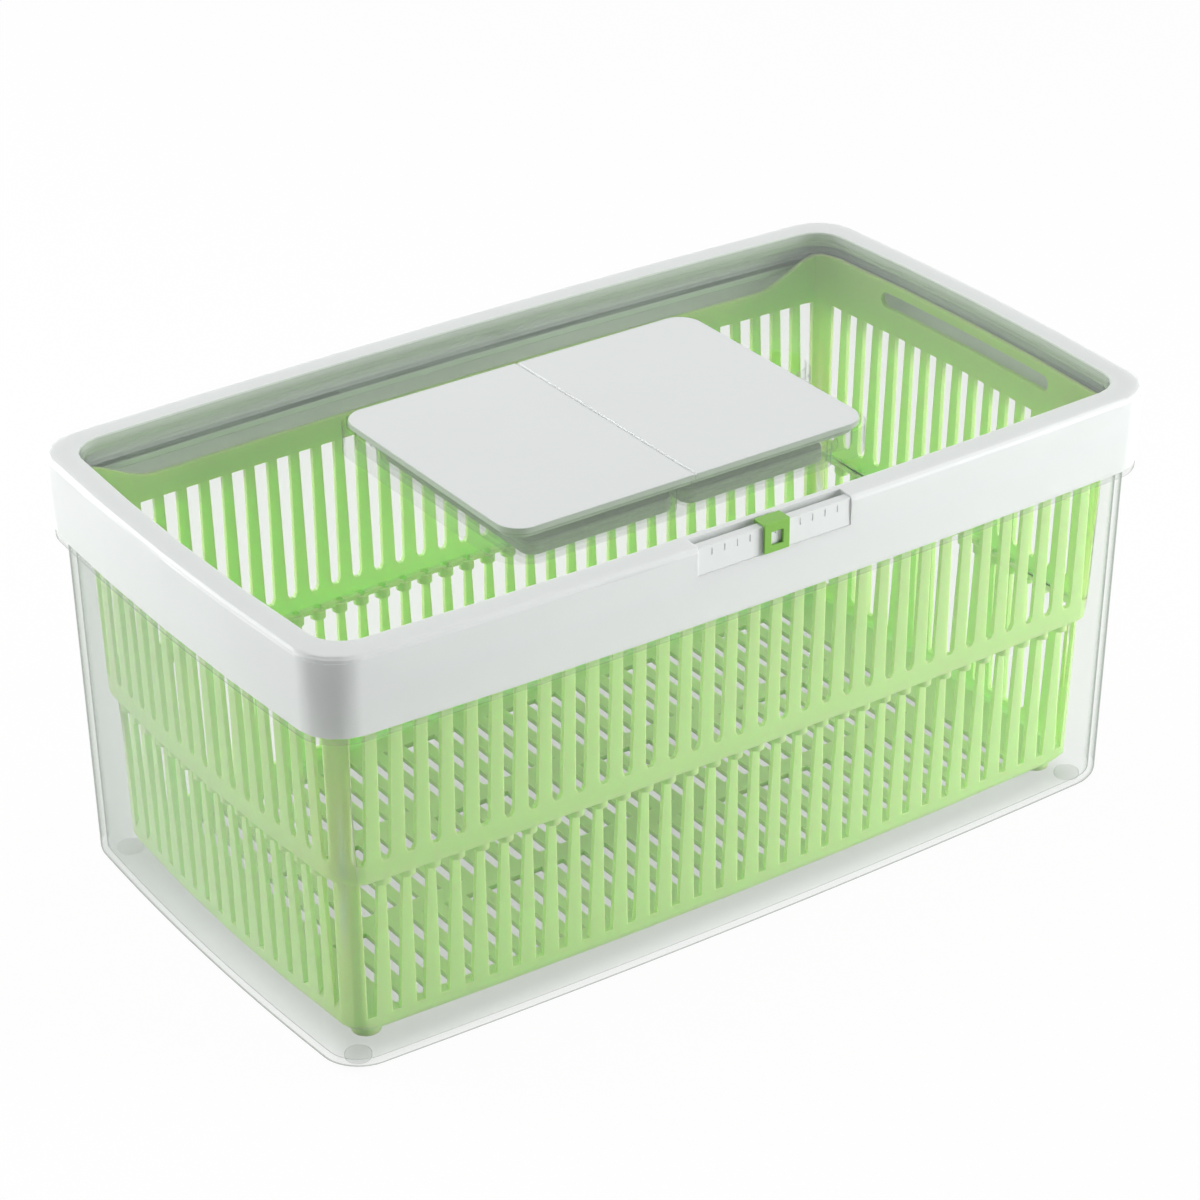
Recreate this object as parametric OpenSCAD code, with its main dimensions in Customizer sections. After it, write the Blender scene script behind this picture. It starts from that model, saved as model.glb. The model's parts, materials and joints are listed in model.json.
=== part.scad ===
// Produce keeper: a clear bin, a slotted basket that stands in it, and a lid with a window,
// a carbon filter under a cover with a door, and a sliding air vent.
// Millimetres. +Z is up, X runs along the bin, the vent is on the -Y side.
// The origin lies under the middle of the bin, on the plane that its feet stand on.

/* [Lid frame] */
// Length of the lid frame over its top edge
lid_l = 340; // [300:1:380]
// Width of the lid frame over its top edge
lid_w = 192; // [170:1:220]
// Height from the surface that the feet stand on to the top of the lid frame
lid_top_z = 156.5; // [156.5:0.5:180]
// Corner radius of the lid frame
lid_r = 15; // [12:0.5:20]
// How far the skirt draws in on each side, from top to bottom
lid_draft = 1; // [0:0.1:1.2]
// Height of the skirt and the top plate together
lid_skirt_h = 28.5; // [27:0.5:32]
// Wall of the skirt
lid_wall = 2; // [1.6:0.1:2.2]
// Width of the top plate, from the outer edge to the window
lid_plate_w = 8.8; // [8.4:0.1:10]
// Thickness of the top plate
lid_plate_t = 2.4; // [2:0.1:2.6]
// Radius of the outer top edge
lid_edge_r = 2; // [1.6:0.1:2.4]
// Thickness of the rib that hangs from the inner edge of the plate
lid_rib_t = 2.2; // [1.6:0.1:2.4]
// How far the long sides bow out
bow_long = 3.8; // [0:0.1:5]
// How far the short sides bow out
bow_short = 3.4; // [0:0.1:5]

/* [Bin] */
// Wall of the bin
bin_wall = 2.2; // [1.8:0.1:2.6]
// Thickness of the floor of the bin
bin_floor_t = 2.4; // [2:0.1:4]
// How far the wall draws in on each side, from the flange to the floor
bin_draft = 2; // [0:0.1:4]
// Height of the top edge of the bin above the surface
bin_top_z = 141; // [140:0.5:142]
// Gap between the bin and the skirt of the lid
bin_lid_gap = 1; // [0.6:0.1:1.2]
// Gap between the flange and the skirt
flange_gap = 0.3; // [0.2:0.05:0.6]
// Height of the flange under the skirt
flange_h = 2; // [1.5:0.1:3]
// Radius of the bottom edge of the bin
bin_edge_r = 3.6; // [3:0.1:5]
// Corner radius of the bin
bin_r = 13; // [11:0.5:18]

/* [Feet] */
// Diameter of a foot
foot_d = 9; // [6:0.5:12]
// Thickness of a foot
foot_t = 1.6; // [1.2:0.1:2]
// Gap round a foot in its seat
foot_gap = 0.05; // [0.05:0.05:0.2]
// How far a foot stands below the bin
foot_drop = 0.8; // [0.5:0.1:1]
// Distance from the middle of a foot to the edges of the bin
foot_inset = 14; // [11:0.5:20]

/* [Basket] */
// Gap between the top of the basket and the rib of the lid
basket_gap = 1.2; // [0.8:0.1:2]
// Wall of the basket
basket_wall = 1.7; // [1.4:0.1:2]
// Corner radius of the basket
basket_r = 11; // [9:0.5:16]
// Height of the underside of the floor above the surface
basket_floor_z = 6.6; // [6:0.1:12]
// Thickness of the floor
basket_floor_t = 2; // [1.6:0.1:3]
// Height of the step between the two tiers
step_z = 67; // [50:0.5:80]
// How far the lower tier steps in on each side
step_in = 2.6; // [1.6:0.1:3]
// How far the upper tier draws in on each side
upper_draft = 1.8; // [0:0.1:3]
// How far the lower tier draws in on each side
lower_draft = 1.8; // [0:0.1:3]
// Height of the top edge of the long sides
long_top_z = 138; // [134:0.5:141]
// Height of the top edge of the short ends
end_top_z = 148.5; // [147:0.5:149]
// Where the top edge starts to rise, measured from the end of the basket
rise_start = 36; // [33:0.5:40]
// Length of the rise
rise_l = 30; // [12:0.5:31]
// Distance from the middle of a leg to the edges of the basket
leg_inset = 12; // [10:0.5:20]
// Diameter of a leg
leg_d = 10; // [6:0.5:14]
// Diameter of the lugs under the step
lug_d = 5.6; // [4.8:0.1:6]
// How far the lugs hang below the step
lug_h = 2.6; // [1:0.1:4]
// Diameter of the dimple in a lug
dimple_d = 3; // [2:0.1:3.2]
// Radius of the bottom edge of the basket
basket_edge_r = 3; // [1:0.1:4]

/* [Slots] */
// Distance between neighbouring slots
slot_pitch = 8.85; // [8:0.05:11]
// Number of slots in the upper tier of a long side
slots_long = 34; // [20:2:34]
// Number of slots in the upper tier of a short end
slots_short = 17; // [9:2:17]
// Height of the top of the upper slots
slot_top_z = 127.5; // [110:0.5:130]
// Solid wall between the step and the upper slots
slot_band = 7; // [5:0.5:12]
// Solid wall below the lower slots
slot_foot = 9.5; // [6:0.5:14]
// Width of an upper slot at its top
upper_w_top = 5.9; // [3.6:0.1:6]
// Width of an upper slot at its bottom
upper_w_bottom = 3.8; // [2:0.1:5]
// Width of a lower slot at its top
lower_w_top = 6.4; // [3.6:0.1:6.6]
// Width of a lower slot at its bottom
lower_w_bottom = 3.6; // [2:0.1:5]
// Width of a floor slot
floor_slot_w = 4.4; // [3:0.1:6]
// Length of a floor slot
floor_slot_l = 40; // [30:1:44]
// Solid floor between two rows of floor slots
floor_slot_gap = 8; // [4:0.5:10]
// Number of slots in a row in the floor
floor_slots = 30; // [12:2:30]
// Length of the hand slot in each end
hand_l = 93; // [70:1:110]
// Height of the hand slot in each end
hand_h = 6; // [5:0.1:8]
// Solid wall between the hand slot and the top edge
hand_top = 3.8; // [3:0.1:5]

/* [Window] */
// Corner radius of the window
window_r = 11.2; // [9:0.1:14]
// Thickness of the window
panel_t = 2; // [1.6:0.1:2.4]
// How far the window lies below the lid frame
panel_drop = 0.5; // [0:0.1:1]
// Gap between the window and the lid frame
panel_gap = 0.2; // [0.1:0.05:0.4]
// Thickness of the skirt of the window
panel_skirt_t = 1.5; // [1.2:0.1:2]
// Height of the window and its inner skirt
panel_skirt_h = 4.7; // [4.4:0.1:5]
// Thickness of the step at the foot of that skirt
panel_step_t = 1.3; // [1:0.1:1.5]
// How far the outer skirt of the window stands out from the inner one
panel_step_w = 3.8; // [3.4:0.1:4]
// Thickness of the shelf above the gasket
shelf_t = 1.5; // [1.2:0.1:2]
// Thickness of the gasket
gasket_t = 2.5; // [2:0.1:3]
// Gap on each side of the gasket
gasket_gap = 0.2; // [0.1:0.05:0.4]
// Radius of the finger notch
notch_r = 10.5; // [8:0.5:12]
// Depth of the finger notch
notch_depth = 6; // [4:0.1:8]

/* [Filter] */
// Length of the filter cover
cover_l = 148; // [120:1:160]
// Width of the filter cover
cover_w = 105; // [90:1:115]
// Corner radius of the filter cover
cover_r = 9; // [7:0.5:12]
// Thickness of the filter cover
cover_t = 2.2; // [1.8:0.1:2.6]
// How far the filter cover lies below the lid frame
cover_drop = 0.8; // [0.4:0.1:1]
// Gap round the filter cover
cover_gap = 0.8; // [0.5:0.1:1.2]
// Width of the groove across the cover
groove_w = 1.2; // [0.8:0.1:2]
// Depth of the groove across the cover
groove_depth = 0.4; // [0.2:0.1:0.8]
// Half the gap between the door and the half that stays in place
fold_gap = 0.05; // [0.05:0.01:0.1]
// Width of the seat that the cover lies on
seat_w = 2.8; // [2:0.1:3.4]
// Height of the locating rim under the cover
cover_rim_h = 2.6; // [2:0.1:3]
// Thickness of the locating rim under the cover
cover_rim_t = 1.2; // [1:0.1:1.6]
// Gap round the locating rim
rim_gap = 0.4; // [0.3:0.05:0.6]
// Wall of the recess
recess_wall = 1.6; // [1.2:0.1:2]
// Depth of the recess below the lid frame
recess_depth = 11; // [10:0.1:12]
// Length of the filter holder
holder_l = 130; // [110:1:132]
// Width of the filter holder
holder_w = 95; // [80:1:97]
// Height of the filter holder below the floor of the recess
holder_h = 7; // [6:0.1:9]
// Corner radius of the filter holder
holder_r = 6; // [4:0.5:8]
// Gap round the filter holder
holder_gap = 0.3; // [0.2:0.05:0.5]
// Wall of the filter holder
holder_wall = 1.4; // [1.2:0.1:1.8]
// Width of the flange that carries the filter holder
holder_flange_w = 2.2; // [1.6:0.1:2.4]
// Thickness of the flange that carries the filter holder
holder_flange_t = 1.2; // [1:0.1:1.6]
// Number of air slots under each sachet
grille_n = 9; // [4:1:9]
// Distance between neighbouring air slots under a sachet
grille_pitch = 5.5; // [5:0.1:6]
// Width of an air slot under a sachet
grille_w = 2.5; // [1.5:0.1:3]
// Length of an air slot under a sachet
grille_l = 72; // [50:1:76]
// Thickness of a filter sachet
sachet_t = 5; // [4:0.1:6]
// Gap round a filter sachet
sachet_gap = 1.5; // [1:0.1:3]

/* [Vent] */
// Length of the pocket in the front of the lid frame
pocket_l = 61; // [50:1:70]
// Thickness of the floor of the pocket
pocket_floor_t = 1; // [0.8:0.1:1.2]
// Thickness of the end walls of the pocket
pocket_end_t = 1.6; // [1.2:0.1:2]
// Depth of the pocket from the outside of the skirt
pocket_depth = 6.6; // [6.2:0.1:6.8]
// Thickness of the track bar
bar_t = 3.4; // [3:0.1:3.6]
// How far the face of the bar lies behind the outside of the skirt
bar_setback = 0.8; // [0.4:0.1:1]
// How far the top of the bar lies below the top of the lid frame
bar_drop = 0.8; // [0.4:0.1:1]
// Width of the slider
slider_w = 10; // [8:0.5:14]
// Wall of the slider
slider_t = 1.1; // [1:0.1:1.2]
// Running gap between the slider and the bar
slider_gap = 0.2; // [0.1:0.05:0.3]
// Gap under the slider and the shutter
slider_lift = 0.3; // [0.2:0.05:0.5]
// Width of the window in the slider
slider_window_w = 4.6; // [3:0.1:5]
// Height of the window in the slider
slider_window_h = 4.8; // [3:0.1:5]
// Thickness of the shutter
shutter_t = 0.8; // [0.6:0.1:0.9]
// Height of the shutter
shutter_h = 5; // [4:0.1:6]
// Number of air slots
air_slots = 3; // [2:1:3]
// Distance between neighbouring air slots
air_pitch = 10; // [9:0.5:11]
// Width of an air slot
air_w = 4.5; // [3:0.1:5]
// Height of an air slot
air_h = 3; // [2:0.1:3.2]
// Gap at each end of the track bar
bar_end_gap = 0.2; // [0.1:0.05:0.4]
// Spacing of the marks on the track bar
mark_pitch = 5; // [4:0.5:8]
// Width of a mark
mark_w = 0.5; // [0.4:0.1:0.8]
// Height of a mark
mark_h = 2.4; // [1.6:0.1:3]
// Depth of a mark
mark_depth = 0.3; // [0.2:0.05:0.5]
// Distance from the marks to the top of the bar
mark_top = 1.2; // [0.8:0.1:2]

/* [Hidden] */
$fn = 48;
// Overlap of joined shapes and of cuts that run out of a surface
eps = 0.01;
past = 1;
// Steps round a corner, along a long side and along a short side
corner_steps = 4;
long_steps = 6;
short_steps = 4;
// Steps of a rounded edge
edge_steps = 3;

// Levels of the lid
skirt_z = lid_top_z - lid_skirt_h;
plate_z = lid_top_z - lid_plate_t;
panel_top_z = lid_top_z - panel_drop;
panel_z = panel_top_z - panel_t;
rib_z = panel_top_z - panel_skirt_h;
shelf_z = bin_top_z + gasket_t;
shelf_top_z = shelf_z + shelf_t;
pocket_z = shelf_top_z + pocket_floor_t;
seat_z = lid_top_z - cover_drop - cover_t;
recess_z = lid_top_z - recess_depth;
holder_z = recess_z - holder_h;

// Plan sizes of the lid
window_l = lid_l - 2*lid_plate_w;
window_w = lid_w - 2*lid_plate_w;
rib_l = window_l + 2*lid_rib_t;
rib_w = window_w + 2*lid_rib_t;
skirt_in = lid_wall + lid_draft;
inner_l = lid_l - 2*skirt_in;
inner_w = lid_w - 2*skirt_in;
inner_r = lid_r - skirt_in;

// Plan sizes of the bin at its top
bin_l = lid_l - 2*skirt_in - 2*bin_lid_gap;
bin_w = lid_w - 2*skirt_in - 2*bin_lid_gap;

// Plan sizes of the basket at its top
basket_l = window_l - 2*basket_gap;
basket_w = window_w - 2*basket_gap;
leg_h = basket_floor_z - foot_drop - bin_floor_t;

// Plan sizes of the recess
seat_l = cover_l + 2*cover_gap;
seat_wd = cover_w + 2*cover_gap;
well_l = seat_l - 2*seat_w;
well_w = seat_wd - 2*seat_w;

// Places along Y of the vent, at the middle of the front
face_y = -lid_w/2;
pocket_y = face_y + pocket_depth;
bar_y = face_y + bar_setback;
bar_back_y = bar_y + bar_t;
bar_top_z = lid_top_z - bar_drop;
slider_front_y = bar_y - slider_gap - slider_t;
slider_back_y = bar_back_y + slider_gap;
slider_foot_z = pocket_z + slider_lift;
shutter_l = air_pitch*air_slots + 2;
air_z = pocket_z + slider_lift + 0.1 + air_h/2;

// Points of a rectangle with round corners, with extra points along its sides
function round_rect(l, w, r) = [
    for (c = [0:3])
        let (sx = (c == 0 || c == 3) ? 1 : -1)
        let (sy = (c < 2) ? 1 : -1)
        let (steps = (c % 2 == 0) ? long_steps : short_steps)
        let (along = (c % 2 == 0) ? [-2*sx*(l/2 - r), 0] : [0, -2*sy*(w/2 - r)])
        let (centre = [sx*(l/2 - r), sy*(w/2 - r)])
        each concat(
            [for (k = [0:corner_steps])
                centre + r*[cos(90*c + 90*k/corner_steps), sin(90*c + 90*k/corner_steps)]],
            [for (k = [1:steps - 1])
                centre + r*[cos(90*c + 90), sin(90*c + 90)] + along*k/steps])];

// The same outline with its sides bowed out: the middles stay and the corners draw in
function bowed(l, w, r) = [
    for (p = round_rect(l, w, r))
        [p.x*(1 - 2*bow_short/l*pow(2*p.y/w, 2)), p.y*(1 - 2*bow_long/w*pow(2*p.x/l, 2))]];

// Straight slab with a bowed outline
module slab(l, w, r, z, h) {
    translate([0, 0, z])
        linear_extrude(height = h)
            polygon(bowed(l, w, r));
}

// Slab whose outline changes from l by w at its foot by grow on each side at its top
module draft_slab(l, w, r, z, h, grow) {
    translate([0, 0, z])
        linear_extrude(height = h, scale = [1 + 2*grow/l, 1 + 2*grow/w], slices = 1, $fn = 0)
            polygon(bowed(l, w, r));
}

// Slab with a rounded bottom edge, then a wall that widens by grow on each side
module tub(l, w, r, z, h, grow, edge) {
    for (k = [0:edge_steps - 1]) {
        a0 = 90*k/edge_steps;
        a1 = 90*(k + 1)/edge_steps;
        in0 = edge*(1 - sin(a0));
        in1 = edge*(1 - sin(a1));
        z0 = edge*(1 - cos(a0));
        z1 = edge*(1 - cos(a1));
        draft_slab(l - 2*in0, w - 2*in0, r - in0/2, z + z0, z1 - z0 + eps, in0 - in1);
    }
    draft_slab(l, w, r, z + edge, h - edge, grow);
}

// Plain rectangle with round corners, centred
module plate(l, w, r, z, h) {
    translate([0, 0, z])
        linear_extrude(height = h)
            union() {
                square([l - 2*r, w], center = true);
                square([l, w - 2*r], center = true);
                for (x = [-1, 1], y = [-1, 1])
                    translate([x*(l/2 - r), y*(w/2 - r)])
                        circle(r);
            }
}

module foot_at(x, y) {
    translate([x*(bin_l/2 - bin_draft - foot_inset), y*(bin_w/2 - bin_draft - foot_inset), 0])
        children();
}

module foot(x, y) {
    color([0.85, 0.9, 0.88, 0.6])
        foot_at(x, y)
            cylinder(d = foot_d, h = foot_t);
}

module container() {
    wall_h = bin_top_z - foot_drop;
    color([0.86, 0.93, 0.9, 0.35])
        difference() {
            union() {
                tub(bin_l - 2*bin_draft, bin_w - 2*bin_draft, bin_r, foot_drop,
                    skirt_z - foot_drop, bin_draft, bin_edge_r);
                slab(bin_l, bin_w, bin_r, skirt_z - eps, bin_top_z - skirt_z + eps);
                slab(lid_l - 2*lid_draft, lid_w - 2*lid_draft, lid_r - lid_draft,
                    skirt_z - flange_gap - flange_h, flange_h);
            }
            tub(bin_l - 2*bin_draft - 2*bin_wall, bin_w - 2*bin_draft - 2*bin_wall,
                bin_r - bin_wall, foot_drop + bin_floor_t, skirt_z - foot_drop - bin_floor_t,
                bin_draft, bin_edge_r - bin_wall);
            slab(bin_l - 2*bin_wall, bin_w - 2*bin_wall, bin_r - bin_wall,
                skirt_z - eps, wall_h);
            for (x = [-1, 1], y = [-1, 1])
                foot_at(x, y)
                    cylinder(d = foot_d + 2*foot_gap, h = foot_t);
        }
}

// Upper slot: wide and square at its top, narrow with broken corners at its bottom
module upper_slot(x, z0, z1) {
    top = upper_w_top/2;
    foot = upper_w_bottom/2;
    polygon([[x - top, z1], [x - foot, z0 + foot], [x - foot/2, z0],
        [x + foot/2, z0], [x + foot, z0 + foot], [x + top, z1]]);
}

// Lower slot: wide at its top, where the lugs of the step reach over its corners
module lower_slot(x, z0, z1) {
    top = lower_w_top/2;
    foot = lower_w_bottom/2;
    polygon([[x - foot, z0], [x + foot, z0], [x + top, z1], [x - top, z1]]);
}

// Places of n slots along a side
function slot_x(n) = [for (k = [0:n - 1]) slot_pitch*(k - (n - 1)/2)];

module side_slots(n_upper, z0) {
    for (x = slot_x(n_upper))
        upper_slot(x, step_z + slot_band, slot_top_z);
    for (x = slot_x(n_upper - 1))
        lower_slot(x, basket_floor_z + slot_foot, step_z);
}

// Edge of the basket top seen from the front: low along the sides, high at the ends
module top_cut() {
    x0 = basket_l/2 - rise_start;
    rise = end_top_z - long_top_z;
    steps = 6;
    right = [for (k = [0:steps])
        [x0 + rise_l*k/steps, long_top_z + rise*(1 - cos(180*k/steps))/2]];
    left = [for (k = [steps:-1:0]) [-right[k].x, right[k].y]];
    polygon(concat(left, right, [[x0 + rise_l, end_top_z + past], [-x0 - rise_l, end_top_z + past]]));
}

module basket_tiers(inset, z0) {
    l0 = basket_l - 2*upper_draft - 2*step_in - 2*lower_draft - 2*inset;
    w0 = basket_w - 2*upper_draft - 2*step_in - 2*lower_draft - 2*inset;
    up = inset > 0 ? basket_wall : 0;
    r = basket_r - inset;
    tub(l0, w0, r - step_in, z0, step_z + up - z0, lower_draft, basket_edge_r);
    draft_slab(basket_l - 2*upper_draft - 2*inset, basket_w - 2*upper_draft - 2*inset, r,
        step_z + up - eps, slot_top_z - step_z - up, upper_draft);
    slab(basket_l - 2*inset, basket_w - 2*inset, r, slot_top_z - 2*eps,
        end_top_z - slot_top_z + (inset > 0 ? past : 0));
}

// Middles of the lugs, which stand on the step over the ribs of the lower tier
module lug_places() {
    l = basket_l - 2*upper_draft - 2*basket_wall - step_in;
    w = basket_w - 2*upper_draft - 2*basket_wall - step_in;
    for (x = slot_x(slots_long - 2), s = [-1, 1])
        translate([x, s*(w/2 - bow_long*pow(2*x/l, 2))])
            children();
    for (y = slot_x(slots_short - 2), s = [-1, 1])
        translate([s*(l/2 - bow_short*pow(2*y/w, 2)), y])
            children();
}

module slotted_basket() {
    hand_z = end_top_z - hand_top - hand_h/2;
    difference() {
        basket_tiers(0, basket_floor_z);
        basket_tiers(basket_wall, basket_floor_z + basket_floor_t);
        rotate([90, 0, 0])
            linear_extrude(height = basket_w + 2*past, center = true) {
                top_cut();
                side_slots(slots_long);
            }
        rotate([90, 0, 90])
            linear_extrude(height = basket_l + 2*past, center = true) {
                side_slots(slots_short);
                translate([-hand_l/2 + hand_h/2, hand_z - hand_h/2])
                    square([hand_l - hand_h, hand_h]);
                for (s = [-1, 1])
                    translate([s*(hand_l/2 - hand_h/2), hand_z])
                        circle(d = hand_h, $fn = 16);
            }
        for (x = slot_x(floor_slots), y = [-1, 0, 1])
            translate([x - floor_slot_w/2, y*(floor_slot_l + floor_slot_gap) - floor_slot_l/2,
                basket_floor_z - past])
                cube([floor_slot_w, floor_slot_l, basket_floor_t + 2*past]);
    }
}

module basket() {
    leg_x = basket_l/2 - upper_draft - step_in - lower_draft - leg_inset;
    leg_y = basket_w/2 - upper_draft - step_in - lower_draft - leg_inset;
    color([0.67, 0.85, 0.55])
        difference() {
            union() {
                slotted_basket();
                for (x = [-1, 1], y = [-1, 1])
                    translate([x*leg_x, y*leg_y, basket_floor_z - leg_h])
                        cylinder(d = leg_d, h = leg_h + eps);
                lug_places()
                    translate([0, 0, step_z - lug_h])
                        cylinder(d = lug_d, h = lug_h + basket_wall/2, $fn = 16);
            }
            lug_places()
                translate([0, 0, step_z + basket_wall - lug_h])
                    cylinder(d = dimple_d, h = lug_h + eps, $fn = 16);
        }
}

// Skirt and plate as one solid, with a rounded top edge
module frame_solid() {
    draft_slab(lid_l - 2*lid_draft, lid_w - 2*lid_draft, lid_r - lid_draft, skirt_z,
        lid_skirt_h - lid_edge_r, lid_draft);
    for (k = [0:edge_steps - 1]) {
        a0 = 90*k/edge_steps;
        a1 = 90*(k + 1)/edge_steps;
        in0 = lid_edge_r*(1 - cos(a0));
        in1 = lid_edge_r*(1 - cos(a1));
        z0 = lid_edge_r*sin(a0);
        z1 = lid_edge_r*sin(a1);
        draft_slab(lid_l - 2*in0, lid_w - 2*in0, lid_r - in0, lid_top_z - lid_edge_r + z0 - eps,
            z1 - z0 + eps, in0 - in1);
    }
}

// Row of air slots through the rib or the shutter
module air_row(y0, y1, z) {
    for (k = [0:air_slots - 1])
        translate([air_pitch*(k - (air_slots - 1)/2) - air_w/2, y0, z - air_h/2])
            cube([air_w, y1 - y0, air_h]);
}

module lid_frame() {
    box_l = pocket_l + 2*pocket_end_t;
    color("white")
        difference() {
            union() {
                difference() {
                    frame_solid();
                    slab(inner_l, inner_w, inner_r, skirt_z - past, plate_z - skirt_z + past);
                }
                slab(rib_l, rib_w, window_r + lid_rib_t, rib_z, plate_z - rib_z + eps);
                // floor, ends and back of the vent pocket
                intersection() {
                    slab(lid_l - 2*lid_draft, lid_w - 2*lid_draft, lid_r - lid_draft,
                        shelf_top_z, plate_z - shelf_top_z + eps);
                    translate([-box_l/2, face_y, shelf_top_z])
                        cube([box_l, pocket_depth + lid_rib_t, plate_z - shelf_top_z + eps]);
                }
            }
            slab(window_l, window_w, window_r, skirt_z - past, lid_skirt_h + 2*past);
            translate([-pocket_l/2, face_y - past, pocket_z])
                cube([pocket_l, pocket_depth + past, lid_top_z - pocket_z + past]);
            // track of the shutter, which runs on behind the end walls
            translate([-box_l/2 - past, bar_back_y, pocket_z])
                cube([box_l + 2*past, pocket_y - bar_back_y, plate_z - pocket_z]);
            air_row(pocket_y - past, pocket_y + lid_rib_t + past, air_z);
        }
}

module lid_panel() {
    l = window_l - 2*panel_gap;
    w = window_w - 2*panel_gap;
    r = window_r - panel_gap;
    step_bottom_z = rib_z - panel_step_t;
    shutter_room = shutter_l + pocket_l - slider_w;
    color([0.85, 0.93, 0.87, 0.35])
        difference() {
            union() {
                slab(l, w, r, panel_z, panel_t);
                difference() {
                    union() {
                        slab(l, w, r, step_bottom_z, panel_z - step_bottom_z + eps);
                        slab(l + 2*panel_step_w, w + 2*panel_step_w, r + panel_step_w,
                            shelf_z, rib_z - shelf_z);
                        slab(inner_l - 2*panel_gap, inner_w - 2*panel_gap, inner_r - panel_gap,
                            shelf_z, shelf_t);
                    }
                    slab(l - 2*panel_skirt_t, w - 2*panel_skirt_t, r - panel_skirt_t,
                        shelf_z - past, panel_z - shelf_z + past);
                    slab(l + 2*panel_step_w - 2*panel_skirt_t, w + 2*panel_step_w - 2*panel_skirt_t,
                        r + panel_step_w - panel_skirt_t, shelf_z - past,
                        step_bottom_z - shelf_z + past);
                }
                plate(seat_l + 2*recess_wall, seat_wd + 2*recess_wall,
                    cover_r + cover_gap + recess_wall, recess_z - recess_wall,
                    panel_z - recess_z + recess_wall + eps);
                translate([seat_l/2, 0, panel_top_z - notch_depth - recess_wall])
                    cylinder(r = notch_r + recess_wall, h = notch_depth + recess_wall - eps);
            }
            plate(seat_l, seat_wd, cover_r + cover_gap, seat_z, panel_top_z);
            plate(well_l, well_w, cover_r + cover_gap - seat_w, recess_z, panel_top_z);
            plate(holder_l + 2*holder_gap, holder_w + 2*holder_gap, holder_r + holder_gap,
                recess_z - past - recess_wall, panel_top_z);
            translate([seat_l/2, 0, panel_top_z - notch_depth])
                cylinder(r = notch_r, h = notch_depth + past);
            // room for the vent pocket, and for the shutter on both sides of it
            translate([-shutter_room/2, face_y, shelf_top_z])
                cube([shutter_room, pocket_depth + panel_gap/2, rib_z - shelf_top_z + eps]);
            translate([-pocket_l/2 - pocket_end_t - panel_gap, face_y, shelf_top_z])
                cube([pocket_l + 2*pocket_end_t + 2*panel_gap,
                    pocket_depth + lid_rib_t + panel_gap/2, rib_z - shelf_top_z + eps]);
        }
}

module lid_gasket() {
    seal_l = window_l + 2*panel_step_w - 2*panel_gap - 2*panel_skirt_t;
    seal_w = window_w + 2*panel_step_w - 2*panel_gap - 2*panel_skirt_t;
    color([0.8, 0.86, 0.82])
        difference() {
            slab(inner_l - 2*gasket_gap, inner_w - 2*gasket_gap, inner_r - gasket_gap,
                bin_top_z, gasket_t);
            slab(seal_l, seal_w, window_r + panel_step_w - panel_skirt_t, bin_top_z - past,
                gasket_t + 2*past);
        }
}

module filter_holder() {
    in_l = holder_l - 2*holder_wall;
    in_w = holder_w - 2*holder_wall;
    bay_l = (in_l - holder_wall)/2;
    color([0.85, 0.93, 0.87, 0.4])
        difference() {
            union() {
                plate(holder_l, holder_w, holder_r, holder_z, holder_h);
                plate(holder_l + 2*holder_flange_w, holder_w + 2*holder_flange_w,
                    holder_r + holder_flange_w, recess_z, holder_flange_t);
            }
            for (s = [-1, 1]) {
                translate([s*(bay_l + holder_wall)/2, 0, 0])
                    plate(bay_l, in_w, holder_r - holder_wall, holder_z + holder_wall,
                        holder_h + holder_flange_t);
                for (k = [0:grille_n - 1])
                    translate([s*(bay_l + holder_wall)/2 + grille_pitch*(k - (grille_n - 1)/2)
                        - grille_w/2, -grille_l/2, holder_z - past])
                        cube([grille_w, grille_l, holder_wall + 2*past]);
            }
        }
}

module filter_sachet(s) {
    bay_l = holder_l/2 - 1.5*holder_wall;
    color([0.93, 0.94, 0.92])
        translate([s*(bay_l + holder_wall)/2, 0, 0])
            plate(bay_l - 2*sachet_gap, holder_w - 2*holder_wall - 2*sachet_gap,
                holder_r - holder_wall, holder_z + holder_wall, sachet_t);
}

// One half of the cover: 1 for the door on the right, -1 for the half that stays in place
module cover_half(s) {
    rim_l = well_l - 2*rim_gap;
    rim_w = well_w - 2*rim_gap;
    rim_r = cover_r - seat_w;
    rim_z = seat_z - cover_rim_h;
    color("white")
        intersection() {
            difference() {
                union() {
                    plate(cover_l, cover_w, cover_r, seat_z, cover_t);
                    plate(rim_l, rim_w, rim_r, rim_z, cover_rim_h + eps);
                }
                plate(rim_l - 2*cover_rim_t, rim_w - 2*cover_rim_t, rim_r - cover_rim_t,
                    rim_z - past, cover_rim_h + past);
                translate([-groove_w/2, -cover_w/2 - past, seat_z + cover_t - groove_depth])
                    cube([groove_w, cover_w + 2*past, groove_depth + past]);
            }
            translate([s*(cover_l/4 + past/2 + fold_gap), 0, seat_z])
                cube([cover_l/2 + past, cover_w + 2*past, 2*(cover_t + cover_rim_h) + past], center = true);
        }
}

module track_bar() {
    l = pocket_l - 2*bar_end_gap;
    marks = floor((l/2 - slider_w/2)/mark_pitch);
    color("white")
        difference() {
            translate([-l/2, bar_y, pocket_z])
                cube([l, bar_t, bar_top_z - pocket_z]);
            for (k = [-marks:marks])
                translate([k*mark_pitch - mark_w/2, bar_y - past, bar_top_z - mark_top - mark_h])
                    cube([mark_w, past + mark_depth, mark_h]);
        }
}

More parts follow.
